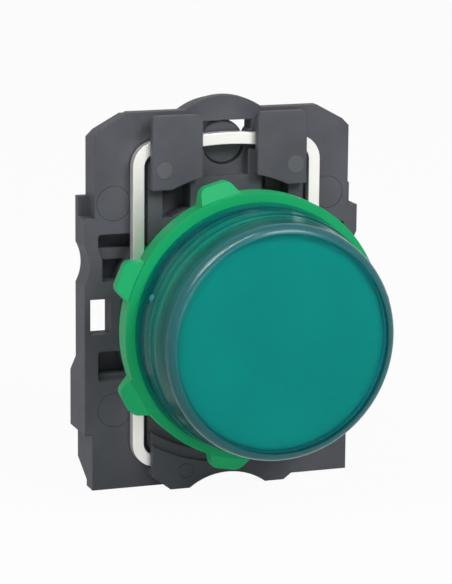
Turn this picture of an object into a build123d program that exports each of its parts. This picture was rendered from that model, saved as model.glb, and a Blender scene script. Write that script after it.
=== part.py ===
# A 22 mm panel pilot light with a lens cap that unscrews, a green bezel body, a fixing collar
# that grips the panel from behind, and a screw-terminal lamp module on the back.
# Units are millimetres. The lamp axis is Y, the lens faces -Y, and +Z is up.
# The origin is on the lamp axis, at the front face of the panel, where the gasket seats.

from build123d import *
import math
import os

# Driving sizes of the bezel body
RING_R = 13.8
RING_FRONT_Y = -3.1
RING_BACK_Y = -1.0
LUG_COUNT = 6
LUG_FIRST_DEG = 105.5
LUG_PITCH_DEG = 51.4
LUG_TIP_R = 15.2
LUG_ROOT_WIDTH = 4.6
LUG_TIP_WIDTH = 3.0
LUG_SETBACK = 0.25
LUG_SLOPE = 0.9
LUG_ROOT_LAP = 0.4
SPIGOT_R = 11.8
SPIGOT_LENGTH = 4.3
NECK_R = 11.0
NECK_BORE_R = 8.2
NECK_LENGTH = 11.9
REFLECTOR_R = 10.1
REFLECTOR_DEPTH = 4.6
DIFFUSER_SEAT_Y = -3.6
KEY_GROOVE_WIDTH = 1.5
KEY_GROOVE_DEPTH = 0.7
KEY_GROOVE_LENGTH = 9.0

# Driving sizes of the lens cap, its seal and the diffuser
CAP_BASE_R = 12.9
CAP_FRONT_R = 11.95
CAP_FRONT_Y = -11.5
CAP_GAP = 0.1
CAP_FACE = 0.7
CAP_EDGE = 0.35
CAP_STEP_Y = -7.0
CAP_STEP = 0.12
CAP_BORE_R = 11.1
CAP_BORE_END_GAP = 0.3
CAP_THREAD_CLEARANCE = 0.05
SEAL_THICKNESS = 0.8
SEAL_WIDTH = 0.45
SEAL_CLEARANCE = 0.05
DIFFUSER_R = 10.9
DIFFUSER_WALL = 0.85
DIFFUSER_FACE = 0.9
DIFFUSER_GAP = 0.2

# Driving sizes of the panel gasket
GASKET_R = 13.3
GASKET_BORE_CLEARANCE = 0.05

# Driving sizes of the fixing collar
COLLAR_Y = 6.9
PLATE = 2.1
EAR_WIDTH = 30.0
EAR_TOP_Z = 10.1
EAR_BOTTOM_Z = -12.75
UPPER_WIDTH = 27.8
LOWER_WIDTH = 28.4
TOP_Z = 20.9
BOTTOM_Z = -18.7
CORNER_WIDTH = 3.6
CORNER_DROP = 2.3
CORNER_SOFT = 0.75
BUMP_WIDTH = 8.4
BUMP_HEIGHT = 1.4
SIDE_NOTCH_Z = 5.15
SIDE_NOTCH_LENGTH = 4.2
SIDE_NOTCH_DEPTH = 0.55
SKIRT_WALL = 1.0
SKIRT_DEPTH = 3.3
DEEP_SKIRT_DEPTH = 5.3
DEEP_SKIRT_Z = -6.8
SKIRT_SLOPE = 1.9
HEEL_RISE = 2.4
SHOULDER_HEIGHT = 2.0
SHOULDER_DEPTH = 1.0
TOP_LIP = 1.2
TOP_STEP = 0.45
BORE_R = 11.1
SLEEVE_WALL = 0.8
SLEEVE_DEPTH = 3.0
KEY_CLEARANCE = 0.15
CORE_GAP = 0.5
CORE_PROUD = 0.85
NOSE_HALF = 2.4
NOSE_LEDGE_Z = 14.05
NOSE_RECESS = 0.95
POCKET_INNER_X = 3.9
POCKET_OUTER_X = 6.9
POCKET_BOTTOM_Z = 9.95
POCKET_TOP_Z = 15.2
POCKET_WEB = 0.5
POCKET_DEPTH = 2.4
TAB_INNER_X = 3.0
TAB_OUTER_X = 8.4
TAB_PROUD = 2.1
TAB_TOP_Z = 20.7
TAB_BOTTOM_Z = 13.07
TAB_CORNER = 0.6
TAB_ARC_R = 14.5
TAB_THICKNESS = 0.75
CHIN_HALF = 8.3
CHIN_ARC_R = 16.1
CHIN_CORNER_WIDTH = 2.0
CHIN_CORNER_HEIGHT = 1.5
CHIN_RIDGE_R = 15.0
CHIN_RIDGE_DROP = 0.4
CHIN_CHANNEL_Z = -16.5
WINDOW_OUTER_X = 13.55
WINDOW_STEP = 0.45
WINDOW_CORNER = 0.35
UPPER_WINDOW_TOP_Z = 8.4
UPPER_WINDOW_BEND_Z = 5.7
UPPER_WINDOW_BOTTOM_Z = 3.45
WINDOW_INNER_X = 9.6
WINDOW_BAR_Z = 5.6
WINDOW_BAR_HEIGHT = 1.2
WINDOW_BAR_SETBACK = 1.1
WINDOW_SILL_HEIGHT = 0.6
WINDOW_SILL_SETBACK = 0.8
SLOT_OUTER_X = 14.4
SLOT_INNER_X = 12.2
SLOT_TOP_Z = 1.65
SLOT_BOTTOM_Z = -2.1
LOWER_WINDOW_TOP_Z = -3.9
LOWER_WINDOW_BOTTOM_Z = -7.05
WINDOW_FLOOR = 0.6
WINDOW_FLOOR_LAP = 0.8
WINDOW_FLOOR_INNER_X = 7.0

# Driving sizes of the retaining clip
CLIP_HALF = 10.2
CLIP_TOP_Z = 18.0
CLIP_BOTTOM_Z = -16.3
CLIP_WIDTH = 1.2
CLIP_THICKNESS = 1.0
CLIP_CORNER = 2.6
CLIP_ARCH_HALF = 6.0
CLIP_ARCH = 0.6
CLIP_CLEARANCE = 0.1
CLIP_SEAT = 0.05
TRACK_HALF = 10.7
TRACK_TOP_Z = 19.1
TRACK_CORNER = 3.0

# Driving sizes of the clamp screw and its shoe
CLAMP_Z = 17.4
CLAMP_SHANK_R = 1.5
CLAMP_HEAD_R = 2.4
CLAMP_HEAD = 1.8
CLAMP_LENGTH = 4.8
SHOE_R = 2.3
SHOE_LENGTH = 2.0
SHOE_BAR_GAP = 0.7
SHOE_SOCKET = 0.8
SHOE_CLEARANCE = 0.05
EYE_HALF = 3.0
EYE_TOP_Z = 19.7
EYE_LOBE_R = 1.9
EYE_LOBE_X = 4.4
BOSS_R = 2.5
BOSS_LENGTH = 2.0
BOSS_WEB_HALF = 2.0
THREAD_CLEARANCE = 0.05
DRIVE_WIDTH = 0.8
DRIVE_DEPTH = 0.9
DRIVE_MARGIN = 0.35

# Driving sizes of the lamp module and its rails on the collar
MODULE_WIDTH = 10.0
MODULE_HEIGHT = 27.6
MODULE_DEPTH = 15.4
MODULE_GAP = 0.3
MODULE_WALL = 0.9
MODULE_EDGE = 0.5
COVER = 1.0
COVER_LIP = 0.8
COVER_CLEARANCE = 0.05
RAIL_HALF = 6.0
RAIL_HEIGHT = 1.5
RAIL_DEPTH = 1.8
RAIL_LEG = 1.0
HOOK_X = 4.1
HOOK_WIDTH = 1.4
HOOK_THICKNESS = 0.9
HOOK_LIP = 0.7
HOOK_CLEARANCE = 0.05
TOWER_R = 3.6
TOWER_BORE_R = 3.0
TOWER_FRONT_Y = 1.5
WIRE_HOLE_R = 1.6
VENT_COUNT = 3
VENT_LENGTH = 5.0
VENT_WIDTH = 0.7
VENT_PITCH = 1.8

# Driving sizes of the electrical parts
BOARD = 1.0
BOARD_HALF_HEIGHT = 12.4
BOARD_STRIP_GAP = 0.5
BOARD_FRONT_GAP = 0.2
BOARD_SIDE_GAP = 0.1
LED_BOARD_R = 2.95
LED_BOARD = 1.0
LED_BOARD_Y = 4.0
LED_R = 1.5
LED_RIM_R = 1.8
LED_RIM = 0.4
LED_EDGE = 0.6
LED_LENGTH = 3.0
LEAD = 0.4
LEAD_SPACING = 1.6
RESISTOR_R = 1.1
RESISTOR_LENGTH = 5.0
RESISTOR_Z = 5.0
CAPACITOR_HEIGHT = 4.6
CAPACITOR_DEPTH = 4.0
CAPACITOR_RISE = 4.2
CAPACITOR_Z = -5.3
RECTIFIER_SIDE = 3.6
RECTIFIER_RISE = 1.6
TERMINAL_Z = 9.6
STRIP = 1.0
STRIP_HALF_WIDTH = 3.2
STRIP_HALF_HEIGHT = 3.0
STRIP_FROM_COVER = 6.9
TAIL = 0.8
TAIL_HALF_HEIGHT = 1.5
SADDLE = 1.1
SADDLE_HALF_WIDTH = 2.9
SADDLE_HALF_HEIGHT = 2.8
SADDLE_GAP = 0.3
SADDLE_CLEARANCE = 0.05
TERMINAL_SHANK_R = 1.5
TERMINAL_HEAD_R = 2.4
TERMINAL_HEAD = 1.75
TERMINAL_SHANK_BELOW = 3.2
ACCESS_R = 2.6

# Places that follow from the driving sizes
CORE_Y = COLLAR_Y - CORE_PROUD
TAB_Y = COLLAR_Y - TAB_PROUD
PLATE_BACK_Y = COLLAR_Y + PLATE
CORE_TOP_Z = CLIP_TOP_Z - CLIP_WIDTH - CORE_GAP
CLIP_Y = TAB_Y + TAB_THICKNESS + CLIP_CLEARANCE
CLIP_BACK_Y = CLIP_Y + CLIP_THICKNESS
SHOE_Y = CLIP_BACK_Y + SHOE_BAR_GAP
SHOE_BACK_Y = SHOE_Y + SHOE_LENGTH
BOSS_BACK_Y = COLLAR_Y + DEEP_SKIRT_DEPTH
BOSS_Y = BOSS_BACK_Y - BOSS_LENGTH
MODULE_Y = BOSS_BACK_Y + MODULE_GAP
COVER_Y = MODULE_Y + MODULE_DEPTH - COVER
MODULE_HALF = MODULE_WIDTH / 2
MODULE_TOP_Z = MODULE_HEIGHT / 2
BOARD_X = MODULE_HALF - MODULE_WALL - BOARD_SIDE_GAP - BOARD
BOARD_Y = MODULE_Y + MODULE_WALL + BOARD_FRONT_GAP
STRIP_Y = COVER_Y - STRIP_FROM_COVER
BOARD_DEPTH = STRIP_Y - BOARD_STRIP_GAP - BOARD_Y
SADDLE_Y = STRIP_Y + STRIP + SADDLE_GAP
HEAD_Y = SADDLE_Y + SADDLE + SADDLE_CLEARANCE


def slab(shape, y_near, y_far):
    """Extrude a front-view outline from y_near back to y_far."""
    return extrude(Plane.XZ.offset(-y_far) * shape, amount=y_far - y_near, dir=(0, -1, 0))


def block(x_range, y_range, z_range):
    """A plain block between two corners."""
    sizes = [high - low for low, high in (x_range, y_range, z_range)]
    centre = [(high + low) / 2 for low, high in (x_range, y_range, z_range)]
    return Pos(*centre) * Box(*sizes)


def turned(points):
    """Revolve a closed outline of (radius, y) points about the lamp axis."""
    return revolve(make_face(Polyline(*points, close=True)), Axis.Y)


def rod(radius, y_near, y_far, z=0.0, x=0.0):
    """A round bar along Y."""
    return slab(Pos(x, z) * Circle(radius), y_near, y_far)


def frame_rectangle(x_low, x_high, z_low, z_high):
    """A front-view rectangle between two corners."""
    return Pos((x_low + x_high) / 2, (z_low + z_high) / 2) * Rectangle(x_high - x_low, z_high - z_low)


def both_sides(shape):
    """A front-view outline and its mirror image across the lamp axis."""
    return shape + mirror(shape, Plane.YZ)


# The bezel body: front ring with grip lugs, threaded spigot and hollow neck

def grip_lug():
    """One grip lug, at three o'clock: a tapered block whose front slopes back towards its tip."""
    root_r = RING_R - LUG_ROOT_LAP
    outline = Polygon(
        (root_r, -LUG_ROOT_WIDTH / 2),
        (LUG_TIP_R, -LUG_TIP_WIDTH / 2),
        (LUG_TIP_R, LUG_TIP_WIDTH / 2),
        (root_r, LUG_ROOT_WIDTH / 2),
        align=None,
    )
    outline = fillet(outline.vertices().group_by(Axis.X)[-1], 0.3 * LUG_TIP_WIDTH)
    front_y = RING_FRONT_Y + LUG_SETBACK
    slope = Polyline((RING_R, front_y), (LUG_TIP_R, front_y + LUG_SLOPE), (LUG_TIP_R, front_y), close=True)
    return slab(outline, front_y, RING_BACK_Y) - extrude(make_face(slope), amount=LUG_ROOT_WIDTH, both=True)


def bezel_body():
    spigot_front_y = RING_FRONT_Y - SPIGOT_LENGTH
    body = turned([
        (NECK_BORE_R, NECK_LENGTH),
        (NECK_R, NECK_LENGTH),
        (NECK_R, RING_BACK_Y),
        (RING_R, RING_BACK_Y),
        (RING_R, RING_FRONT_Y),
        (SPIGOT_R, RING_FRONT_Y),
        (SPIGOT_R, spigot_front_y),
        (DIFFUSER_R + SEAL_CLEARANCE, spigot_front_y),
        (DIFFUSER_R + SEAL_CLEARANCE, DIFFUSER_SEAT_Y),
        (REFLECTOR_R, DIFFUSER_SEAT_Y),
        (NECK_BORE_R, DIFFUSER_SEAT_Y + REFLECTOR_DEPTH),
    ])
    for index in range(LUG_COUNT):
        body += Rot(0, -LUG_FIRST_DEG - LUG_PITCH_DEG * index, 0) * grip_lug()
    slot_x = (CLIP_HALF - CLIP_WIDTH - CLIP_SEAT, NECK_R + CLIP_WIDTH)
    slot_y = (CLIP_Y - CLIP_SEAT, CLIP_BACK_Y + CLIP_SEAT)
    slot = block(slot_x, slot_y, (-NECK_R, NECK_R))
    body -= slot + mirror(slot, Plane.YZ)
    groove_x = (-KEY_GROOVE_WIDTH / 2, KEY_GROOVE_WIDTH / 2)
    groove_y = (NECK_LENGTH - KEY_GROOVE_LENGTH, NECK_LENGTH + 1)
    body -= block(groove_x, groove_y, (NECK_R - KEY_GROOVE_DEPTH, NECK_R + 1))
    return body


# The lens cap, its seal, the diffuser and the panel gasket

def cap_radius(y):
    """Outer radius of the tapered cap wall at a place along the axis."""
    base_y = RING_FRONT_Y - CAP_GAP
    return CAP_BASE_R + (CAP_FRONT_R - CAP_BASE_R) * (y - base_y) / (CAP_FRONT_Y - base_y)


def lens_cap():
    base_y = RING_FRONT_Y - CAP_GAP
    seal_back_y = base_y - SEAL_THICKNESS - SEAL_CLEARANCE - SEAL_CLEARANCE
    bore_y = RING_FRONT_Y - SPIGOT_LENGTH - CAP_BORE_END_GAP
    thread_r = SPIGOT_R + CAP_THREAD_CLEARANCE
    seal_r = thread_r + SEAL_WIDTH + SEAL_CLEARANCE
    return turned([
        (0, CAP_FRONT_Y),
        (0, CAP_FRONT_Y + CAP_FACE),
        (CAP_BORE_R - CAP_EDGE / 2, CAP_FRONT_Y + CAP_FACE),
        (CAP_BORE_R, bore_y),
        (thread_r, bore_y),
        (thread_r, seal_back_y),
        (seal_r, seal_back_y),
        (seal_r, base_y),
        (CAP_BASE_R, base_y),
        (cap_radius(CAP_STEP_Y), CAP_STEP_Y),
        (cap_radius(CAP_STEP_Y) - CAP_STEP, CAP_STEP_Y - CAP_STEP),
        (cap_radius(CAP_FRONT_Y), CAP_FRONT_Y + CAP_EDGE),
        (cap_radius(CAP_FRONT_Y) - CAP_EDGE, CAP_FRONT_Y),
    ])


def cap_seal():
    front_y = RING_FRONT_Y - CAP_GAP - SEAL_CLEARANCE
    inner_r = SPIGOT_R + SEAL_CLEARANCE
    outline = Circle(inner_r + SEAL_WIDTH) - Circle(inner_r)
    return slab(outline, front_y - SEAL_THICKNESS, front_y)


def diffuser():
    face_y = CAP_FRONT_Y + CAP_FACE + DIFFUSER_GAP
    return turned([
        (0, face_y),
        (DIFFUSER_R, face_y),
        (DIFFUSER_R, DIFFUSER_SEAT_Y),
        (DIFFUSER_R - DIFFUSER_WALL, DIFFUSER_SEAT_Y),
        (DIFFUSER_R - DIFFUSER_WALL, face_y + DIFFUSER_FACE),
        (0, face_y + DIFFUSER_FACE),
    ])


def panel_gasket():
    outline = Circle(GASKET_R) - Circle(NECK_R + GASKET_BORE_CLEARANCE)
    return slab(outline, RING_BACK_Y, 0)


# The retaining clip: one flat loop whose side bars lie in the slots of the neck

def clip_outline(inset):
    """The loop's outline, taken in by a distance all round, with its arched top."""
    half = CLIP_HALF - inset
    top_z = CLIP_TOP_Z - inset
    bottom_z = CLIP_BOTTOM_Z + inset
    arch_r = (CLIP_ARCH_HALF**2 + CLIP_ARCH**2) / (2 * CLIP_ARCH)
    arch = Pos(0, top_z + CLIP_ARCH - arch_r) * Circle(arch_r)
    arch &= frame_rectangle(-CLIP_ARCH_HALF, CLIP_ARCH_HALF, top_z - CLIP_WIDTH / 2, top_z + CLIP_ARCH)
    body = RectangleRounded(2 * half, top_z - bottom_z, CLIP_CORNER - inset)
    return Pos(0, (top_z + bottom_z) / 2) * body + arch


def retaining_clip():
    return slab(clip_outline(0) - clip_outline(CLIP_WIDTH), CLIP_Y, CLIP_BACK_Y)


# The fixing collar: flange with skirts and windows, raised core, tabs, chin and rear rails

def flange_outline():
    """Front view of the flange with its ears, corners, top bump and bottom hollow."""
    ears = frame_rectangle(-EAR_WIDTH / 2, EAR_WIDTH / 2, EAR_BOTTOM_Z, EAR_TOP_Z)
    lower = frame_rectangle(-LOWER_WIDTH / 2, LOWER_WIDTH / 2, BOTTOM_Z, EAR_BOTTOM_Z + 1)
    half = UPPER_WIDTH / 2
    right_side = Polygon(
        (0, EAR_TOP_Z - 1),
        (half, EAR_TOP_Z - 1),
        (half, TOP_Z - CORNER_DROP),
        (half - CORNER_SOFT, TOP_Z - CORNER_DROP + CORNER_SOFT),
        (half - CORNER_WIDTH, TOP_Z),
        (0, TOP_Z),
        align=None,
    )
    bump_r = (BUMP_WIDTH**2 / 4 + BUMP_HEIGHT**2) / (2 * BUMP_HEIGHT)
    bump = Pos(0, TOP_Z + BUMP_HEIGHT - bump_r) * Circle(bump_r)
    hollow = Pos(0, BOTTOM_Z + BUMP_HEIGHT - bump_r) * Circle(bump_r)
    notch_r = (SIDE_NOTCH_LENGTH**2 / 4 + SIDE_NOTCH_DEPTH**2) / (2 * SIDE_NOTCH_DEPTH)
    notch = Pos(EAR_WIDTH / 2 - SIDE_NOTCH_DEPTH + notch_r, SIDE_NOTCH_Z) * Circle(notch_r)
    outline = ears + lower + both_sides(right_side) + bump
    return outline - hollow - both_sides(notch)


def flange():
    """The front plate and the skirt behind it, which is deeper low down."""
    outline = flange_outline()
    inside = offset(outline, -SKIRT_WALL, kind=Kind.INTERSECTION)
    skirt = slab(outline - inside, COLLAR_Y, BOSS_BACK_Y)
    shallow_y = COLLAR_Y + SKIRT_DEPTH
    past_y = BOSS_BACK_Y + 1
    upper_cut = Polygon(
        (shallow_y, DEEP_SKIRT_Z + SKIRT_SLOPE),
        (BOSS_BACK_Y, DEEP_SKIRT_Z),
        (past_y, DEEP_SKIRT_Z),
        (past_y, TOP_Z + 2 * BUMP_HEIGHT),
        (shallow_y, TOP_Z + 2 * BUMP_HEIGHT),
        align=None,
    )
    heel_cut = Polygon(
        (PLATE_BACK_Y - PLATE / 2, BOTTOM_Z - 1),
        (PLATE_BACK_Y - PLATE / 2, BOTTOM_Z + 0.1),
        (BOSS_BACK_Y, BOTTOM_Z + HEEL_RISE),
        (past_y, BOTTOM_Z + HEEL_RISE),
        (past_y, BOTTOM_Z - 1),
        align=None,
    )
    skirt -= extrude(Plane.YZ * upper_cut, amount=EAR_WIDTH, both=True)
    skirt -= extrude(Plane.YZ * heel_cut, amount=EAR_WIDTH, both=True)
    shoulder = block(
        (UPPER_WIDTH / 2 - SKIRT_WALL, EAR_WIDTH / 2),
        (shallow_y - SHOULDER_DEPTH, shallow_y),
        (EAR_TOP_Z - SKIRT_WALL, EAR_TOP_Z + SHOULDER_HEIGHT),
    )
    body = slab(outline, COLLAR_Y, PLATE_BACK_Y) + skirt + shoulder + mirror(shoulder, Plane.YZ)
    below = frame_rectangle(-EAR_WIDTH, EAR_WIDTH, 2 * BOTTOM_Z, EAR_TOP_Z + SHOULDER_HEIGHT)
    step = outline - Pos(0, -TOP_STEP) * outline - below
    return body - slab(step, COLLAR_Y + TOP_LIP, BOSS_BACK_Y)


def side_windows():
    """The three cut-outs beside the clip on the right-hand side, in front view."""
    upper = Polygon(
        (WINDOW_OUTER_X, UPPER_WINDOW_TOP_Z),
        (WINDOW_INNER_X, UPPER_WINDOW_TOP_Z),
        (WINDOW_INNER_X, UPPER_WINDOW_BOTTOM_Z),
        (WINDOW_OUTER_X - WINDOW_STEP, UPPER_WINDOW_BOTTOM_Z),
        (WINDOW_OUTER_X - WINDOW_STEP, UPPER_WINDOW_BEND_Z),
        (WINDOW_OUTER_X, UPPER_WINDOW_BEND_Z + 3 * WINDOW_STEP),
        align=None,
    )
    lower = frame_rectangle(WINDOW_INNER_X, WINDOW_OUTER_X, LOWER_WINDOW_BOTTOM_Z, LOWER_WINDOW_TOP_Z)
    lower = fillet(lower.vertices(), WINDOW_CORNER)
    upper = fillet(upper.vertices().group_by(Axis.Y)[-1], WINDOW_CORNER)
    slot = frame_rectangle(SLOT_INNER_X, SLOT_OUTER_X, SLOT_BOTTOM_Z, SLOT_TOP_Z)
    return upper + lower, slot


def window_bars():
    """The bar set back across the upper side window and the sill in the lower one."""
    x_range = (WINDOW_INNER_X, WINDOW_OUTER_X)
    bar_z = (WINDOW_BAR_Z, WINDOW_BAR_Z + WINDOW_BAR_HEIGHT)
    sill_z = (LOWER_WINDOW_BOTTOM_Z, LOWER_WINDOW_BOTTOM_Z + WINDOW_SILL_HEIGHT)
    bar = block(x_range, (COLLAR_Y + WINDOW_BAR_SETBACK, PLATE_BACK_Y), bar_z)
    return bar + block(x_range, (COLLAR_Y + WINDOW_SILL_SETBACK, PLATE_BACK_Y), sill_z)


def window_floors():
    """Thin backs that close the upper and lower side windows, so that they look dark."""
    x_range = (WINDOW_FLOOR_INNER_X, EAR_WIDTH / 2 - SKIRT_WALL)
    y_range = (COLLAR_Y + SKIRT_DEPTH - WINDOW_FLOOR, COLLAR_Y + SKIRT_DEPTH)
    upper = block(x_range, y_range, (UPPER_WINDOW_BOTTOM_Z - WINDOW_FLOOR_LAP, EAR_TOP_Z))
    lower = block(x_range, y_range, (LOWER_WINDOW_BOTTOM_Z - WINDOW_FLOOR_LAP, LOWER_WINDOW_TOP_Z))
    return upper + lower


def tab():
    """One top tab, in front view on the right-hand side."""
    shape = frame_rectangle(TAB_INNER_X, TAB_OUTER_X, TAB_BOTTOM_Z, TAB_TOP_Z)
    shape = fillet(shape.vertices().group_by(Axis.Y)[-1], TAB_CORNER)
    return shape - Circle(TAB_ARC_R)


def chin(arc_r):
    """The lower front plate, hollowed round the lamp axis at a radius, in front view."""
    bump_r = (BUMP_WIDTH**2 / 4 + BUMP_HEIGHT**2) / (2 * BUMP_HEIGHT)
    right_side = Polygon(
        (0, BOTTOM_Z),
        (CHIN_HALF - CHIN_CORNER_WIDTH, BOTTOM_Z),
        (CHIN_HALF, BOTTOM_Z + CHIN_CORNER_HEIGHT),
        (CHIN_HALF, 0),
        (0, 0),
        align=None,
    )
    hollow = Pos(0, BOTTOM_Z + BUMP_HEIGHT - bump_r) * Circle(bump_r)
    return both_sides(right_side) - Circle(arc_r) - hollow


def clip_track():
    """The open track that the clip lies in, behind the tabs and the chin and in front of the flange."""
    inner = clip_outline(CLIP_WIDTH + CORE_GAP)
    height = TRACK_TOP_Z - CHIN_CHANNEL_Z
    outer = RectangleRounded(2 * TRACK_HALF, height, TRACK_CORNER)
    outer = Pos(0, (TRACK_TOP_Z + CHIN_CHANNEL_Z) / 2) * outer
    track = slab(outer - inner, CLIP_Y - CLIP_CLEARANCE, COLLAR_Y)
    above = frame_rectangle(-TRACK_HALF, TRACK_HALF, CORE_TOP_Z, TAB_TOP_Z + TAB_CORNER) - inner
    return track + slab(above, CLIP_Y - CLIP_CLEARANCE, COLLAR_Y)


def rail_z():
    """Height of the rails' outer edge, level with the ends of the module."""
    return MODULE_TOP_Z - HOOK_CLEARANCE


def module_rail():
    """The upper rail on the back of the collar that the module's hooks grip."""
    z_range = (rail_z() - RAIL_HEIGHT, rail_z())
    bar = block((-RAIL_HALF, RAIL_HALF), (BOSS_BACK_Y - RAIL_DEPTH, BOSS_BACK_Y), z_range)
    leg = block((RAIL_HALF - RAIL_LEG, RAIL_HALF), (PLATE_BACK_Y - 1, BOSS_BACK_Y), z_range)
    return bar + leg + mirror(leg, Plane.YZ)


def screw_boss():
    """The boss that the clamp screw threads through, with the web that carries it."""
    web_z = (rail_z() - RAIL_HEIGHT, CLAMP_Z)
    web = block((-BOSS_WEB_HALF, BOSS_WEB_HALF), (BOSS_Y, BOSS_BACK_Y), web_z)
    hole = rod(CLAMP_SHANK_R + THREAD_CLEARANCE, COLLAR_Y, MODULE_Y, CLAMP_Z)
    return rod(BOSS_R, BOSS_Y, BOSS_BACK_Y, CLAMP_Z) + web - hole


def fixing_collar():
    body = flange()
    dark_windows, through_slot = side_windows()
    body -= slab(both_sides(dark_windows + through_slot), COLLAR_Y, PLATE_BACK_Y)
    backing = window_floors() + window_bars()
    body += backing + mirror(backing, Plane.YZ)
    body += slab(clip_outline(CLIP_WIDTH + CORE_GAP), CORE_Y, PLATE_BACK_Y)
    body += rod(BORE_R + SLEEVE_WALL, COLLAR_Y, COLLAR_Y + SLEEVE_DEPTH)
    body += slab(both_sides(tab()), TAB_Y, COLLAR_Y)
    body += slab(chin(CHIN_ARC_R), TAB_Y, COLLAR_Y)
    body += slab(chin(CHIN_RIDGE_R), TAB_Y + CHIN_RIDGE_DROP, CORE_Y)
    body -= clip_track()
    body -= rod(BORE_R, 0, MODULE_Y)
    pocket = frame_rectangle(POCKET_INNER_X, POCKET_OUTER_X, POCKET_BOTTOM_Z, POCKET_TOP_Z)
    pocket -= Circle(BORE_R + POCKET_WEB)
    body -= slab(both_sides(pocket), CORE_Y, CORE_Y + POCKET_DEPTH)
    nose = frame_rectangle(-NOSE_HALF, NOSE_HALF, NOSE_LEDGE_Z, CORE_TOP_Z + CLIP_ARCH)
    body -= slab(nose, CORE_Y, CORE_Y + NOSE_RECESS)
    eye = frame_rectangle(-EYE_HALF, EYE_HALF, CLAMP_Z, EYE_TOP_Z)
    eye -= both_sides(Pos(EYE_LOBE_X, CLAMP_Z) * Circle(EYE_LOBE_R))
    body -= slab(eye, COLLAR_Y - 1, PLATE_BACK_Y)
    body -= rod(SHOE_R + SHOE_CLEARANCE, CORE_Y, PLATE_BACK_Y, CLAMP_Z)
    body += module_rail() + mirror(module_rail(), Plane.XY) + screw_boss()
    key_half = KEY_GROOVE_WIDTH / 2 - KEY_CLEARANCE
    key_z = (NECK_R - KEY_GROOVE_DEPTH + KEY_CLEARANCE, BORE_R + SLEEVE_WALL / 2)
    body += block((-key_half, key_half), (CORE_Y, COLLAR_Y + SLEEVE_DEPTH), key_z)
    return body


# The clamp screw and the shoe on its tip

def drive_slot(radius, y_back, z):
    """A cross-shaped driver recess in a screw head that faces the back."""
    reach = radius - DRIVE_MARGIN
    cross = Rectangle(2 * reach, DRIVE_WIDTH) + Rectangle(DRIVE_WIDTH, 2 * reach)
    return slab(Pos(0, z) * cross, y_back - DRIVE_DEPTH, y_back)


def clamp_shoe():
    body = rod(SHOE_R, SHOE_Y, SHOE_BACK_Y, CLAMP_Z)
    body = chamfer(body.faces().sort_by(Axis.Y)[0].edges(), SHOE_CLEARANCE * 4)
    socket_r = CLAMP_SHANK_R + THREAD_CLEARANCE
    return body - rod(socket_r, SHOE_BACK_Y - SHOE_SOCKET, SHOE_BACK_Y, CLAMP_Z)


def clamp_screw():
    tip_y = SHOE_BACK_Y - SHOE_SOCKET + THREAD_CLEARANCE
    head_y = tip_y + CLAMP_LENGTH
    shank = rod(CLAMP_SHANK_R, tip_y, head_y, CLAMP_Z)
    head = rod(CLAMP_HEAD_R, head_y, head_y + CLAMP_HEAD, CLAMP_Z)
    return shank + head - drive_slot(CLAMP_HEAD_R, head_y + CLAMP_HEAD, CLAMP_Z)


# The lamp module: housing with light tower and hooks, and its rear cover

def module_hook():
    """One of the upper hooks, which reaches over the rail and catches its front edge."""
    x_range = (HOOK_X - HOOK_WIDTH / 2, HOOK_X + HOOK_WIDTH / 2)
    low_z = rail_z() + HOOK_CLEARANCE
    lip_y = BOSS_BACK_Y - RAIL_DEPTH - HOOK_CLEARANCE
    arm = block(x_range, (lip_y - HOOK_LIP, MODULE_Y + MODULE_WALL), (low_z, low_z + HOOK_THICKNESS))
    lip = block(x_range, (lip_y - HOOK_LIP, lip_y), (low_z - HOOK_LIP, low_z + HOOK_THICKNESS / 2))
    return arm + lip


def module_housing():
    x_range = (-MODULE_HALF, MODULE_HALF)
    shell = block(x_range, (MODULE_Y, COVER_Y), (-MODULE_TOP_Z, MODULE_TOP_Z))
    shell = chamfer(shell.edges().filter_by(Axis.Y), MODULE_EDGE)
    inner_x = MODULE_HALF - MODULE_WALL
    inner_z = MODULE_TOP_Z - MODULE_WALL
    shell -= block((-inner_x, inner_x), (MODULE_Y + MODULE_WALL, COVER_Y), (-inner_z, inner_z))
    shell += rod(TOWER_R, TOWER_FRONT_Y, MODULE_Y + MODULE_WALL)
    shell -= rod(TOWER_BORE_R, TOWER_FRONT_Y, MODULE_Y + MODULE_WALL)
    hook = module_hook()
    hooks = hook + mirror(hook, Plane.YZ)
    shell += hooks + mirror(hooks, Plane.XY)
    wire_y = STRIP_Y + STRIP + WIRE_HOLE_R - SADDLE_GAP
    wire_plane = Plane.XY.offset(-MODULE_HEIGHT)
    shell -= extrude(wire_plane * Pos(0, wire_y) * Circle(WIRE_HOLE_R), amount=2 * MODULE_HEIGHT)
    return shell


def module_cover():
    plate = Rectangle(MODULE_WIDTH, MODULE_HEIGHT)
    body = slab(chamfer(plate.vertices(), MODULE_EDGE), COVER_Y, COVER_Y + COVER)
    lip_half = MODULE_HALF - MODULE_WALL - COVER_CLEARANCE
    lip_z = MODULE_TOP_Z - MODULE_WALL - COVER_CLEARANCE
    lip = Rectangle(2 * lip_half, 2 * lip_z) - Rectangle(2 * lip_half - COVER_LIP * 2, 2 * lip_z - COVER_LIP * 2)
    body += slab(lip, COVER_Y - COVER_LIP, COVER_Y)
    for side in (-1, 1):
        body -= rod(ACCESS_R, COVER_Y - COVER_LIP, COVER_Y + COVER, side * TERMINAL_Z)
    for index in range(VENT_COUNT):
        vent_z = (index - (VENT_COUNT - 1) / 2) * VENT_PITCH
        body -= slab(Pos(0, vent_z) * Rectangle(VENT_LENGTH, VENT_WIDTH), COVER_Y, COVER_Y + COVER)
    return body


# The electrical parts inside the module

def circuit_board():
    y_range = (BOARD_Y, BOARD_Y + BOARD_DEPTH)
    return block((BOARD_X, BOARD_X + BOARD), y_range, (-BOARD_HALF_HEIGHT, BOARD_HALF_HEIGHT))


def led_board():
    return rod(LED_BOARD_R, LED_BOARD_Y, LED_BOARD_Y + LED_BOARD)


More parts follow.
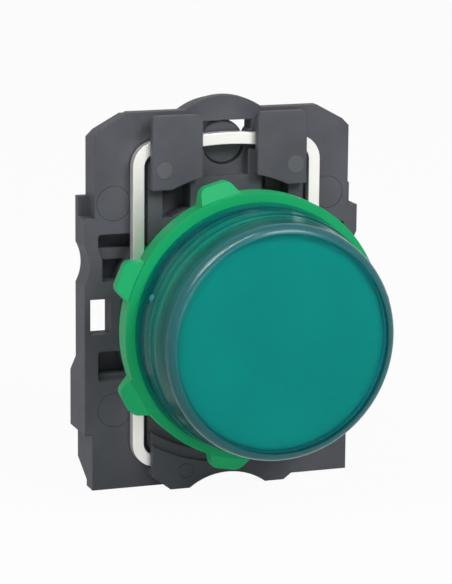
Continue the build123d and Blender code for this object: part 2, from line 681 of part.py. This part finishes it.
def led_lamp():
    bulb = rod(LED_R, LED_BOARD_Y - LED_LENGTH, LED_BOARD_Y)
    bulb = chamfer(bulb.faces().sort_by(Axis.Y)[0].edges(), LED_EDGE)
    return bulb + rod(LED_RIM_R, LED_BOARD_Y - LED_RIM, LED_BOARD_Y)


def led_leads():
    """Two square wires from the lamp's board back to the circuit board."""
    leads = []
    for side in (-1, 1):
        z_range = (side * LEAD_SPACING / 2 - LEAD / 2, side * LEAD_SPACING / 2 + LEAD / 2)
        run = block((-LEAD / 2, LEAD / 2), (LED_BOARD_Y + LED_BOARD, BOARD_Y + LEAD), z_range)
        leads.append(run + block((0, BOARD_X), (BOARD_Y, BOARD_Y + LEAD), z_range))
    return Compound(children=leads)


def series_resistor():
    centre_x = BOARD_X - RESISTOR_R
    centre_y = BOARD_Y + BOARD_DEPTH / 2
    low_z = RESISTOR_Z - RESISTOR_LENGTH / 2
    base = Plane.XY.offset(low_z) * Pos(centre_x, centre_y) * Circle(RESISTOR_R - SADDLE_CLEARANCE)
    body = extrude(base, amount=RESISTOR_LENGTH)
    for z in (low_z - LEAD, low_z + RESISTOR_LENGTH):
        y_range = (centre_y - LEAD / 2, centre_y + LEAD / 2)
        body += block((centre_x, BOARD_X), y_range, (z, z + LEAD))
    return body


def surge_capacitor():
    centre_y = BOARD_Y + BOARD_DEPTH / 2
    y_range = (centre_y - CAPACITOR_DEPTH / 2, centre_y + CAPACITOR_DEPTH / 2)
    z_range = (CAPACITOR_Z - CAPACITOR_HEIGHT / 2, CAPACITOR_Z + CAPACITOR_HEIGHT / 2)
    body = block((BOARD_X - CAPACITOR_RISE, BOARD_X), y_range, z_range)
    return chamfer(body.edges().filter_by(Axis.X), LEAD)


def rectifier():
    low_y = BOARD_Y + BOARD_DEPTH - RECTIFIER_SIDE
    y_range = (low_y, low_y + RECTIFIER_SIDE)
    z_range = (-RECTIFIER_SIDE / 2, RECTIFIER_SIDE / 2)
    body = block((BOARD_X - RECTIFIER_RISE, BOARD_X), y_range, z_range)
    return chamfer(body.faces().sort_by(Axis.X)[0].edges(), LEAD / 2)


def terminal_strip(z):
    """A threaded brass strip with a tail bent forward onto the circuit board."""
    plate = Pos(0, z) * Rectangle(2 * STRIP_HALF_WIDTH, 2 * STRIP_HALF_HEIGHT)
    body = slab(plate, STRIP_Y, STRIP_Y + STRIP)
    x_range = (BOARD_X - TAIL, BOARD_X)
    y_range = (BOARD_Y + BOARD_DEPTH / 2, STRIP_Y + STRIP)
    body += block(x_range, y_range, (z - TAIL_HALF_HEIGHT, z + TAIL_HALF_HEIGHT))
    return body - rod(TERMINAL_SHANK_R + THREAD_CLEARANCE, STRIP_Y, STRIP_Y + STRIP, z)


def saddle(z):
    """A clamp plate under the screw head, with its two ends bent over."""
    plate = Pos(0, z) * Rectangle(2 * SADDLE_HALF_WIDTH, 2 * SADDLE_HALF_HEIGHT)
    body = slab(plate, SADDLE_Y, SADDLE_Y + SADDLE)
    relief = Pos(0, z) * Rectangle(2 * SADDLE_HALF_WIDTH - 2 * SADDLE, 2 * SADDLE_HALF_HEIGHT)
    body -= slab(relief, SADDLE_Y, SADDLE_Y + SADDLE / 3)
    return body - rod(TERMINAL_SHANK_R + THREAD_CLEARANCE, SADDLE_Y, SADDLE_Y + SADDLE, z)


def terminal_screw(z):
    shank = rod(TERMINAL_SHANK_R, STRIP_Y - TERMINAL_SHANK_BELOW, HEAD_Y, z)
    head = rod(TERMINAL_HEAD_R, HEAD_Y, HEAD_Y + TERMINAL_HEAD, z)
    return shank + head - drive_slot(TERMINAL_HEAD_R, HEAD_Y + TERMINAL_HEAD, z)


PIECES = {
    "bezel_body": bezel_body(),
    "lens_cap": lens_cap(),
    "cap_seal": cap_seal(),
    "diffuser": diffuser(),
    "panel_gasket": panel_gasket(),
    "fixing_collar": fixing_collar(),
    "retaining_clip": retaining_clip(),
    "clamp_shoe": clamp_shoe(),
    "clamp_screw": clamp_screw(),
    "module_housing": module_housing(),
    "module_cover": module_cover(),
    "circuit_board": circuit_board(),
    "led_board": led_board(),
    "led_lamp": led_lamp(),
    "led_leads": led_leads(),
    "series_resistor": series_resistor(),
    "surge_capacitor": surge_capacitor(),
    "rectifier": rectifier(),
    "terminal_strip_upper": terminal_strip(TERMINAL_Z),
    "terminal_strip_lower": terminal_strip(-TERMINAL_Z),
    "saddle_upper": saddle(TERMINAL_Z),
    "saddle_lower": saddle(-TERMINAL_Z),
    "terminal_screw_upper": terminal_screw(TERMINAL_Z),
    "terminal_screw_lower": terminal_screw(-TERMINAL_Z),
}

os.makedirs("parts", exist_ok=True)
for name, piece in PIECES.items():
    export_step(piece, f"parts/{name}.step")
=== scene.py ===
import math

import bmesh
import bpy
from mathutils import Matrix, Vector


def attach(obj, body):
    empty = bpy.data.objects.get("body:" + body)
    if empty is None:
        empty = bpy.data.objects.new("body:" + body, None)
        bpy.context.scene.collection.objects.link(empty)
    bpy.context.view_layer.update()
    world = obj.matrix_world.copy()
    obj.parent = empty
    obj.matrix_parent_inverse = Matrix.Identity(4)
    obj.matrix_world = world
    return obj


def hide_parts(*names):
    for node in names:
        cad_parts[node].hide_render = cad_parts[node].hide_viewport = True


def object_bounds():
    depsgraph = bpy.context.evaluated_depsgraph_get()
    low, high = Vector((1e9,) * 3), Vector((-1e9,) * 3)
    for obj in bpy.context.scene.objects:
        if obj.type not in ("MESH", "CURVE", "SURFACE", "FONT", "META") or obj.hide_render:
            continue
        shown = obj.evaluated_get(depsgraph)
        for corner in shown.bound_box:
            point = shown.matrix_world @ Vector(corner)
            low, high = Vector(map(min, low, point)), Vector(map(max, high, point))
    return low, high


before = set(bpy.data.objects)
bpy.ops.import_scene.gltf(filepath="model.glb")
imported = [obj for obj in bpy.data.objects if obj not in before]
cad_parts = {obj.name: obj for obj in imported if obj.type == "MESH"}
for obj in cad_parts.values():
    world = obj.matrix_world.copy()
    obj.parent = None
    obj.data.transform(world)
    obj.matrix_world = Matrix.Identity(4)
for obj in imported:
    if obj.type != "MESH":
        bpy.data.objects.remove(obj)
cad_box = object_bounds()

MM = 0.001

# Camera, in degrees and metres, as fitted to the photograph
CAMERA_AZIMUTH = -19.8
CAMERA_ELEVATION = 12.16
CAMERA_ROLL = 0.5
CAMERA_DISTANCE = 0.2822
CAMERA_TARGET = Vector((-0.0014, 0.0019, 0.0027))
CAMERA_FOCAL_PIXELS = 2753
CAMERA_CLIP_START = 0.01
IMAGE_WIDTH = 452
SENSOR_WIDTH = 36

# Lamps: (name, place, size, energy, roll, gloss only) in metres, watts and degrees
LAMPS = [
    ("key", (0.24, -0.50, 0.40), (0.25, 0.25), 2.35, 0, False),
    ("fill", (-0.15, -0.60, 0.05), (0.35, 0.25), 0.4, 0, False),
    ("top", (-0.27, -0.22, 0.40), (0.30, 0.20), 0.95, 0, False),
    ("strip", (-0.18, -0.26, 0.39), (0.45, 0.10), 2.0, 50, True),
]
WORLD_LIGHT = 0.13

# Floor, in metres
FLOOR_SIZE = 4
FLOOR_DROP = 0.2 * MM
FLOOR_COLOR = (0.88, 0.88, 0.88)
FLOOR_GLOW = 0.95

# The lens cap, in millimetres: the lamp axis is Y and the lens faces -Y
CAP_BASE_Y = -3.2
CAP_FRONT_Y = -11.5
CAP_BASE_R = 12.9
CAP_FRONT_R = 11.95
CAP_FACE = 0.7
CAP_EDGE = 1.1
CAP_CROWN_R = 9.6
CAP_CROWN_DROP = 0.3
CAP_STEP_Y = -7.0
CAP_STEP = 0.12
CAP_SEAL_R = 12.35
CAP_BORE_R = 11.1
CAP_BORE_Y = -7.7

# Rounding of the lens cap's corners, in millimetres
CAP_FINE_ROUND = 0.08
CAP_BASE_ROUND = 0.25
CAP_BORE_ROUND = 0.1
CAP_FACE_ROUND = 0.25

# The screw thread of cap and spigot, in millimetres
THREAD_R = 11.85
THREAD_DEPTH = 0.15
THREAD_PITCH = 1.5
THREAD_BACK_Y = -4.1
THREAD_FRONT_Y = -7.3
THREAD_FADE = 0.4
THREAD_FULLNESS = 0.6
THREAD_ROW = 0.08

# The sleeve that carries the spigot's thread, in millimetres
SLEEVE_R = 11.805
SLEEVE_INNER_R = 11.5
SLEEVE_BACK_Y = -4.0
SLEEVE_FRONT_Y = -7.38

# The diffuser, in millimetres
DIFFUSER_R = 10.9
DIFFUSER_FACE_Y = -10.6
DIFFUSER_SEAT_Y = -3.6
DIFFUSER_WALL = 0.85
DIFFUSER_ROLL = 1.4
DIFFUSER_DROP = 0.4

# Index dot on the cap's skirt, in millimetres and degrees from +X towards +Z
DOT_R = 0.42
DOT_HEIGHT = 0.3
DOT_Y = -5.7
DOT_ANGLE = 160

# Marks left by the ejector pins on the collar: (x, y, z, radius, pale disc) in millimetres
PIN_MARKS = [
    (-11.9, 6.9, 11.6, 1.8, False),
    (-11.8, 6.9, -10.2, 1.8, False),
    (11.6, 6.9, 11.6, 1.7, False),
    (-7.1, 4.8, 15.1, 0.9, True),
    (7.2, 4.8, 15.1, 0.95, True),
    (-4.6, 4.8, -16.8, 0.8, False),
]
MARK_HALF_WIDTH = 0.06
MARK_HEIGHT = 0.015
MARK_ROOT = 0.01

# Meshes: steps round a turned piece and along a rounded corner, and the least sharp edge in degrees
SEGMENTS = 192
ARC_STEPS = 10
SHARP_ANGLE = 32

# Soft edges and grain of the surfaces, in metres
PLASTIC_EDGE = 0.15 * MM
METAL_EDGE = 0.12 * MM
FINE_GRAIN = 0.15 * MM
PLAIN_GRAIN = 0.2 * MM
COARSE_GRAIN = 0.3 * MM
CLEAR_GRAIN_DEPTH = 0.0003 * MM

# Other values of the surfaces
EDGE_SAMPLES = 4
GRAIN_DETAIL = 3
PATCH_DETAIL = 5
PATCH_SCALE = 25
PATCH_LOW = 0.3
PATCH_HIGH = 0.7
ROUGHNESS_SPREAD = 0.06
CLEAR_ROUGHNESS_SPREAD = 0.4
CLEAR_COLOR_SPREAD = 0.03
DULL = 0.15


# Materials

def new_material(name, color, roughness, **sockets):
    """A Principled material and its node tree, with constant values set on the shader."""
    material = bpy.data.materials.new(name)
    material.use_nodes = True
    shader = material.node_tree.nodes["Principled BSDF"]
    shader.inputs["Base Color"].default_value = (*color, 1)
    shader.inputs["Roughness"].default_value = roughness
    for socket, value in sockets.items():
        shader.inputs[socket.replace("_", " ")].default_value = value
    return material, material.node_tree, shader


def add_bump(nodes, links, shader, height, depth, edge):
    """Bumps from a height socket, over soft edges where an edge radius is given."""
    bump = nodes.new("ShaderNodeBump")
    bump.inputs["Distance"].default_value = depth
    bump.inputs["Strength"].default_value = 1
    links.new(height, bump.inputs["Height"])
    links.new(bump.outputs["Normal"], shader.inputs["Normal"])
    if edge:
        soft = nodes.new("ShaderNodeBevel")
        soft.samples = EDGE_SAMPLES
        soft.inputs["Radius"].default_value = edge
        links.new(soft.outputs["Normal"], bump.inputs["Normal"])


def add_patches(nodes, links, shader, place, color, size, spread):
    """Broad patches, a little lighter and darker than a colour."""
    broad = nodes.new("ShaderNodeTexNoise")
    broad.inputs["Scale"].default_value = 1 / (size * PATCH_SCALE)
    broad.inputs["Detail"].default_value = PATCH_DETAIL
    links.new(place, broad.inputs["Vector"])
    ramp = nodes.new("ShaderNodeValToRGB")
    low, high = ramp.color_ramp.elements
    low.position, high.position = PATCH_LOW, PATCH_HIGH
    low.color = (*[c * (1 - spread) for c in color], 1)
    high.color = (*[c * (1 + spread) for c in color], 1)
    links.new(broad.outputs["Fac"], ramp.inputs["Fac"])
    links.new(ramp.outputs["Color"], shader.inputs["Base Color"])


def add_grain(tree, shader, color, size, depth, spread, rough, edge=0):
    """A fine grain in the height, colour and gloss of a surface, and soft edges."""
    nodes, links = tree.nodes, tree.links
    place = nodes.new("ShaderNodeTexCoord").outputs["Object"]
    fine = nodes.new("ShaderNodeTexNoise")
    fine.inputs["Scale"].default_value = 1 / size
    fine.inputs["Detail"].default_value = GRAIN_DETAIL
    links.new(place, fine.inputs["Vector"])
    add_bump(nodes, links, shader, fine.outputs["Fac"], depth, edge)
    add_patches(nodes, links, shader, place, color, size, spread)
    gloss = nodes.new("ShaderNodeMapRange")
    gloss.inputs["To Min"].default_value = rough[0]
    gloss.inputs["To Max"].default_value = rough[1]
    links.new(fine.outputs["Fac"], gloss.inputs["Value"])
    links.new(gloss.outputs["Result"], shader.inputs["Roughness"])


def opaque(name, color, roughness, size=PLAIN_GRAIN, depth=0.004 * MM, spread=0.08,
           edge=PLASTIC_EDGE, **sockets):
    """An opaque material with soft edges and a fine grain."""
    material, tree, shader = new_material(name, color, roughness, **sockets)
    rough = (roughness - ROUGHNESS_SPREAD, roughness + ROUGHNESS_SPREAD)
    add_grain(tree, shader, color, size, depth, spread, rough, edge)
    return material


def clear(name, color, roughness, inside, density, **sockets):
    """Faintly milky plastic, tinted through its depth, that lets the lamps' light pass."""
    material, tree, shader = new_material(name, color, roughness, **sockets)
    rough = (roughness * (1 - CLEAR_ROUGHNESS_SPREAD), roughness * (1 + CLEAR_ROUGHNESS_SPREAD))
    add_grain(tree, shader, color, COARSE_GRAIN, CLEAR_GRAIN_DEPTH, CLEAR_COLOR_SPREAD, rough)
    nodes, links = tree.nodes, tree.links
    rays = nodes.new("ShaderNodeLightPath")
    through = nodes.new("ShaderNodeBsdfTransparent")
    through.inputs["Color"].default_value = (*[math.sqrt(c) for c in color], 1)
    mix = nodes.new("ShaderNodeMixShader")
    links.new(rays.outputs["Is Shadow Ray"], mix.inputs["Fac"])
    links.new(shader.outputs["BSDF"], mix.inputs[1])
    links.new(through.outputs["BSDF"], mix.inputs[2])
    links.new(mix.outputs["Shader"], nodes["Material Output"].inputs["Surface"])
    tint = nodes.new("ShaderNodeVolumeAbsorption")
    tint.inputs["Color"].default_value = (*inside, 1)
    tint.inputs["Density"].default_value = density
    links.new(tint.outputs["Volume"], nodes["Material Output"].inputs["Volume"])
    return material


COLLAR = opaque("collar_plastic", color=(0.101, 0.104, 0.119), roughness=0.55, size=FINE_GRAIN,
                depth=0.012 * MM, spread=0.12, Specular_IOR_Level=DULL)
PALE = opaque("collar_mark", color=(0.135, 0.139, 0.153), roughness=0.55, size=FINE_GRAIN,
              depth=0.006 * MM, spread=0.08, Specular_IOR_Level=DULL)
MODULE = opaque("module_plastic", color=(0.095, 0.097, 0.108), roughness=0.55, size=FINE_GRAIN,
                depth=0.010 * MM, spread=0.10, Specular_IOR_Level=DULL)
GREEN = opaque("green_plastic", color=(0.010, 0.45, 0.155), roughness=0.45,
               depth=0.001 * MM, spread=0.03, Specular_IOR_Level=DULL)
RUBBER = opaque("seal_rubber", color=(0.022, 0.022, 0.023), roughness=0.75)
NICKEL = opaque("clip_metal", color=(0.98, 0.96, 0.92), roughness=0.38, size=COARSE_GRAIN,
                depth=0.002 * MM, spread=0.03, edge=METAL_EDGE, Metallic=0.6)
ZINC = opaque("screw_metal", color=(0.66, 0.65, 0.62), roughness=0.30, size=COARSE_GRAIN,
              depth=0.001 * MM, spread=0.05, edge=METAL_EDGE, Metallic=1.0)
BRASS = opaque("strip_brass", color=(0.75, 0.56, 0.25), roughness=0.28, size=COARSE_GRAIN,
               depth=0.002 * MM, spread=0.05, edge=METAL_EDGE, Metallic=1.0)
BOARD = opaque("board", color=(0.02, 0.16, 0.07), roughness=0.35, depth=0.001 * MM, spread=0.1)
LAMP = opaque("lamp_lens", color=(0.45, 0.75, 0.55), roughness=0.15, depth=0.0005 * MM, spread=0.03)
TINNED = opaque("lead_metal", color=(0.72, 0.71, 0.69), roughness=0.25, depth=0.001 * MM,
                spread=0.05, Metallic=1.0)
RESISTOR = opaque("resistor_body", color=(0.42, 0.52, 0.58), roughness=0.4, spread=0.06)
CAPACITOR = opaque("capacitor_body", color=(0.55, 0.06, 0.04), roughness=0.3, spread=0.08)
CHIP = opaque("chip_body", color=(0.02, 0.02, 0.022), roughness=0.5, spread=0.1)
TEAL = opaque("diffuser_plastic", color=(0.01, 0.62, 0.36), roughness=0.5,
              depth=0.0005 * MM, spread=0.02)
LENS = clear("lens", color=(0.03, 0.56, 0.58), roughness=0.2, inside=(0.05, 0.58, 0.68),
             density=900, IOR=1.13, Transmission_Weight=0.90)
RIM = clear("lens_rim", color=(0.05, 0.60, 0.64), roughness=0.22, inside=(0.10, 0.60, 0.70),
            density=650, IOR=1.38, Transmission_Weight=0.80)
DOT = clear("lens_dot", color=(0.03, 0.36, 0.36), roughness=0.2, inside=(0.10, 0.60, 0.70),
            density=650, IOR=1.3, Transmission_Weight=0.4)

NODE_MATERIALS = {
    "bezel_body": GREEN,
    "lens_cap": LENS,
    "cap_seal": RUBBER,
    "diffuser": TEAL,
    "panel_gasket": RUBBER,
    "fixing_collar": COLLAR,
    "retaining_clip": NICKEL,
    "clamp_shoe": COLLAR,
    "clamp_screw": ZINC,
    "module_housing": MODULE,
    "module_cover": MODULE,
    "circuit_board": BOARD,
    "led_board": BOARD,
    "led_lamp": LAMP,
    "led_leads": TINNED,
    "series_resistor": RESISTOR,
    "surge_capacitor": CAPACITOR,
    "rectifier": CHIP,
    "terminal_strip_upper": BRASS,
    "terminal_strip_lower": BRASS,
    "saddle_upper": ZINC,
    "saddle_lower": ZINC,
    "terminal_screw_upper": ZINC,
    "terminal_screw_lower": ZINC,
}


def dress_nodes():
    """Gives each CAD node its material."""
    for name, material in NODE_MATERIALS.items():
        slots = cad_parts[name].data.materials
        slots.clear()
        slots.append(material)


# Turned pieces: outlines are (radius, y, corner radius) and rows (radius, y, thread), in millimetres

def thread_wave(y, angle):
    """Height of the screw thread, from 0 to 1, at a place along the axis and round it."""
    turn = -y / THREAD_PITCH - angle / (2 * math.pi)
    ends = min(1, (THREAD_BACK_Y - y) / THREAD_FADE, (y - THREAD_FRONT_Y) / THREAD_FADE)
    return max(0, ends) * max(0, math.sin(2 * math.pi * turn)) ** THREAD_FULLNESS


def thread_rows(radius, y_from, y_to):
    """Rows along a threaded wall, close enough together to carry the thread's form."""
    count = round(abs(y_to - y_from) / THREAD_ROW)
    rows = []
    for index in range(count + 1):
        rows.append((radius, y_from + (y_to - y_from) * index / count, THREAD_DEPTH))
    return rows


def corner(before, point, after, radius):
    """The points of an arc of that radius, which rounds the corner at a point."""
    here = Vector(point)
    to_before = (Vector(before) - here).normalized()
    to_after = (Vector(after) - here).normalized()
    half = to_before.angle(to_after) / 2
    reach = radius / math.tan(half)
    centre = here + (to_before + to_after).normalized() * radius / math.sin(half)
    start = here + to_before * reach - centre
    sweep = start.angle_signed(here + to_after * reach - centre)
    arc = []
    for step in range(ARC_STEPS + 1):
        arc.append(centre + Matrix.Rotation(-sweep * step / ARC_STEPS, 2) @ start)
    return arc


def rounded(outline):
    """The rows of an outline, with its corners rounded where they have a radius."""
    rows = []
    for index, (r, y, radius) in enumerate(outline):
        before = outline[index - 1][:2]
        after = outline[(index + 1) % len(outline)][:2]
        points = corner(before, (r, y), after, radius) if radius else [(r, y)]
        rows += [(*point, 0) for point in points]
    return rows


def turned_mesh(name, rows, centre):
    """A closed mesh turned from rows about an axis along Y, through a centre at (x, z)."""
    made = bmesh.new()
    rings = []
    for r, y, thread in rows:
        if r == 0:
            rings.append([made.verts.new((centre[0] * MM, y * MM, centre[1] * MM))])
            continue
        ring = []
        for index in range(SEGMENTS):
            angle = 2 * math.pi * index / SEGMENTS
            radius = (r + thread * thread_wave(y, angle)) * MM
            x = centre[0] * MM + radius * math.cos(angle)
            z = centre[1] * MM + radius * math.sin(angle)
            ring.append(made.verts.new((x, y * MM, z)))
        rings.append(ring)
    for near, far in zip(rings, rings[1:] + rings[:1]):
        if len(near) == 1 and len(far) == 1:
            continue
        for index in range(SEGMENTS):
            following = (index + 1) % SEGMENTS
            if len(near) == 1:
                made.faces.new((near[0], far[index], far[following]))
            elif len(far) == 1:
                made.faces.new((near[index], far[0], near[following]))
            else:
                made.faces.new((near[index], far[index], far[following], near[following]))
    bmesh.ops.recalc_face_normals(made, faces=made.faces)
    for face in made.faces:
        face.smooth = True
    mesh = bpy.data.meshes.new(name)
    made.to_mesh(mesh)
    made.free()
    mesh.set_sharp_from_angle(angle=math.radians(SHARP_ANGLE))
    return mesh


def turned(name, rows, material, body, replaced=(), centre=(0, 0)):
    """A piece turned from rows, which rides on a body and may replace CAD nodes."""
    mesh = turned_mesh(name, rows, centre)
    mesh.materials.append(material)
    piece = bpy.data.objects.new(name, mesh)
    bpy.context.collection.objects.link(piece)
    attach(piece, body)
    if replaced:
        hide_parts(*replaced)
    return piece


def cap_radius(y):
    """Outer radius of the tapered cap wall at a place along the axis."""
    return CAP_BASE_R + (CAP_FRONT_R - CAP_BASE_R) * (y - CAP_BASE_Y) / (CAP_FRONT_Y - CAP_BASE_Y)


def crown_y(r):
    """Place of the cap's front at a radius: flat in the middle, falling away near its edge."""
    share = max(0, r - CAP_CROWN_R) / (CAP_FRONT_R - CAP_CROWN_R)
    return CAP_FRONT_Y + CAP_CROWN_DROP * share ** 2


def crown_outline():
    """The cap's front from its middle out to where its edge is rounded off."""
    outline = [(0, CAP_FRONT_Y, 0)]
    reach = CAP_FRONT_R - CAP_EDGE - CAP_CROWN_R
    for step in range(ARC_STEPS + 1):
        r = CAP_CROWN_R + reach * step / ARC_STEPS
        outline.append((r, crown_y(r), 0))
    return outline


def make_cap():
    """The clear cap, with the thread cut into the inside of its skirt."""
    step_r = cap_radius(CAP_STEP_Y)
    outside = rounded([
        *crown_outline(),
        (CAP_FRONT_R, crown_y(CAP_FRONT_R), CAP_EDGE),
        (step_r - CAP_STEP, CAP_STEP_Y - CAP_STEP, CAP_FINE_ROUND),
        (step_r, CAP_STEP_Y, CAP_FINE_ROUND),
        (CAP_BASE_R, CAP_BASE_Y, CAP_BASE_ROUND),
        (CAP_SEAL_R, CAP_BASE_Y, CAP_FINE_ROUND),
        (CAP_SEAL_R, THREAD_BACK_Y, CAP_FINE_ROUND),
        (THREAD_R, THREAD_BACK_Y, 0),
    ])
    inside = rounded([
        (THREAD_R, CAP_BORE_Y, 0),
        (CAP_BORE_R, CAP_BORE_Y, CAP_BORE_ROUND),
        (CAP_BORE_R, CAP_FRONT_Y + CAP_FACE, CAP_FACE_ROUND),
        (0, CAP_FRONT_Y + CAP_FACE, 0),
    ])
    rows = outside[:-1] + thread_rows(THREAD_R, THREAD_BACK_Y, CAP_BORE_Y) + inside[1:]
    cap = turned("clear_cap", rows, LENS, "cap", ["lens_cap"])
    cap.data.materials.append(RIM)
    for face in cap.data.polygons:
        radius, y = math.hypot(face.center.x, face.center.z), face.center.y
        if radius > CAP_BORE_R * MM and y < (CAP_FRONT_Y + CAP_EDGE) * MM:
            face.material_index = 1


def make_spigot_thread():
    """The screw thread on the bezel's spigot, which shows through the cap's skirt."""
    rows = [
        (SLEEVE_INNER_R, SLEEVE_FRONT_Y, 0),
        *thread_rows(SLEEVE_R, SLEEVE_FRONT_Y, SLEEVE_BACK_Y),
        (SLEEVE_INNER_R, SLEEVE_BACK_Y, 0),
    ]
    turned("spigot_thread", rows, GREEN, "lamp_body")


def make_diffuser():
    """The diffuser cup, whose face rolls off towards its edge."""
    flat_r = DIFFUSER_R - DIFFUSER_ROLL
    inner_r = DIFFUSER_R - DIFFUSER_WALL
    steps = ARC_STEPS * 2
    rows = [(0, DIFFUSER_FACE_Y, 0)]
    for step in range(steps + 1):
        turn = math.pi / 2 * step / steps
        r = flat_r + DIFFUSER_ROLL * math.sin(turn)
        rows.append((r, DIFFUSER_FACE_Y + DIFFUSER_DROP * (1 - math.cos(turn)), 0))
    rows += [
        (DIFFUSER_R, DIFFUSER_SEAT_Y, 0),
        (inner_r, DIFFUSER_SEAT_Y, 0),
        (inner_r, DIFFUSER_FACE_Y + DIFFUSER_WALL + DIFFUSER_DROP, 0),
        (0, DIFFUSER_FACE_Y + DIFFUSER_WALL, 0),
    ]
    turned("diffuser_cup", rows, TEAL, "lamp_body", ["diffuser"])


def make_index_dot():
    """The small raised dot on the cap's skirt."""
    rows = []
    for step in range(ARC_STEPS + 1):
        turn = math.pi / 2 * step / ARC_STEPS
        rows.append((DOT_R * math.sin(turn), -DOT_HEIGHT * math.cos(turn), 0))
    rows.append((0, DOT_HEIGHT, 0))
    dot = turned("index_dot", rows, DOT, "cap")
    place = Matrix.Translation((0, DOT_Y * MM, 0)) @ Matrix.Rotation(-math.radians(DOT_ANGLE), 4, "Y")
    out = Matrix.Translation((cap_radius(DOT_Y) * MM, 0, 0)) @ Matrix.Rotation(math.pi / 2, 4, "Z")
    dot.data.transform(place @ out)


def make_pin_marks():
    """Marks on the front of the collar: fine raised circles, and two pale discs on the tabs."""
    for number, (x, y, z, radius, pale) in enumerate(PIN_MARKS, 1):
        front_y, back_y = y - MARK_HEIGHT, y + MARK_ROOT
        if pale:
            rows = [(0, front_y, 0), (radius, front_y, 0), (radius, back_y, 0), (0, back_y, 0)]
        else:
            inner_r, outer_r = radius - MARK_HALF_WIDTH, radius + MARK_HALF_WIDTH
            rows = [(inner_r, back_y, 0), (radius, front_y, 0), (outer_r, back_y, 0)]
        material = PALE if pale else COLLAR
        turned(f"pin_mark_{number}", rows, material, "lamp_body", centre=(x, z))


# Stage, light and camera

def seen_directly(nodes, links):
    """A socket that is 1 for camera, glossy and transmission rays, and 0 for diffuse light."""
    rays = nodes.new("ShaderNodeLightPath")
    seen = rays.outputs["Is Camera Ray"]
    for kind in ("Is Glossy Ray", "Is Transmission Ray"):
        either = nodes.new("ShaderNodeMath")
        either.operation = "MAXIMUM"
        links.new(seen, either.inputs[0])
        links.new(rays.outputs[kind], either.inputs[1])
        seen = either.outputs["Value"]
    return seen


def floor_material():
    """A pale floor that shows as white and keeps the object's shadow."""
    material = bpy.data.materials.new("floor")
    material.use_nodes = True
    nodes, links = material.node_tree.nodes, material.node_tree.links
    nodes.remove(nodes["Principled BSDF"])
    diffuse = nodes.new("ShaderNodeBsdfDiffuse")
    diffuse.inputs["Color"].default_value = (*FLOOR_COLOR, 1)
    glow = nodes.new("ShaderNodeEmission")
    share = nodes.new("ShaderNodeMath")
    share.operation = "MULTIPLY"
    share.inputs[1].default_value = FLOOR_GLOW
    links.new(seen_directly(nodes, links), share.inputs[0])
    mix = nodes.new("ShaderNodeMixShader")
    links.new(share.outputs["Value"], mix.inputs["Fac"])
    links.new(diffuse.outputs["BSDF"], mix.inputs[1])
    links.new(glow.outputs["Emission"], mix.inputs[2])
    links.new(mix.outputs["Shader"], nodes["Material Output"].inputs["Surface"])
    return material


def make_stage():
    """The floor, just under the object."""
    bpy.ops.mesh.primitive_plane_add(size=FLOOR_SIZE, location=(0, 0, cad_box[0][2] - FLOOR_DROP))
    floor = bpy.context.object
    floor.name = "floor"
    floor.data.materials.append(floor_material())


def make_world():
    """White surroundings that light the object only faintly."""
    world = bpy.data.worlds.new("studio")
    bpy.context.scene.world = world
    world.use_nodes = True
    nodes, links = world.node_tree.nodes, world.node_tree.links
    background = nodes["Background"]
    background.inputs["Color"].default_value = (1, 1, 1, 1)
    strength = nodes.new("ShaderNodeMapRange")
    strength.inputs["To Min"].default_value = WORLD_LIGHT
    strength.inputs["To Max"].default_value = 1
    links.new(seen_directly(nodes, links), strength.inputs["Value"])
    links.new(strength.outputs["Result"], background.inputs["Strength"])


def make_lamp(name, place, size, energy, roll, gloss_only):
    """A soft box turned towards the object. One for gloss only adds no diffuse light."""
    data = bpy.data.lights.new(name, "AREA")
    data.shape = "RECTANGLE"
    data.size, data.size_y = size
    data.energy = energy
    lamp = bpy.data.objects.new(name, data)
    lamp.location = place
    aim = Vector(place).to_track_quat("Z", "Y").to_matrix()
    lamp.rotation_euler = (aim @ Matrix.Rotation(math.radians(roll), 3, "Z")).to_euler()
    lamp.visible_diffuse = not gloss_only
    lamp.visible_camera = False
    bpy.context.collection.objects.link(lamp)


def make_camera():
    """The camera at the photograph's place."""
    azimuth, elevation = math.radians(CAMERA_AZIMUTH), math.radians(CAMERA_ELEVATION)
    back = Vector((
        math.sin(azimuth) * math.cos(elevation),
        -math.cos(azimuth) * math.cos(elevation),
        math.sin(elevation),
    ))
    data = bpy.data.cameras.new("camera")
    data.sensor_fit = "HORIZONTAL"
    data.sensor_width = SENSOR_WIDTH
    data.lens = CAMERA_FOCAL_PIXELS / IMAGE_WIDTH * SENSOR_WIDTH
    data.clip_start = CAMERA_CLIP_START
    camera = bpy.data.objects.new("camera", data)
    turn = back.to_track_quat("Z", "Y").to_matrix().to_4x4()
    roll = Matrix.Rotation(math.radians(CAMERA_ROLL), 4, "Z")
    camera.matrix_world = Matrix.Translation(CAMERA_TARGET + back * CAMERA_DISTANCE) @ turn @ roll
    bpy.context.collection.objects.link(camera)
    bpy.context.scene.camera = camera


dress_nodes()
make_cap()
make_spigot_thread()
make_diffuser()
make_index_dot()
make_pin_marks()
make_stage()
make_world()
for lamp in LAMPS:
    make_lamp(*lamp)
make_camera()
bpy.context.scene.view_settings.view_transform = "Standard"
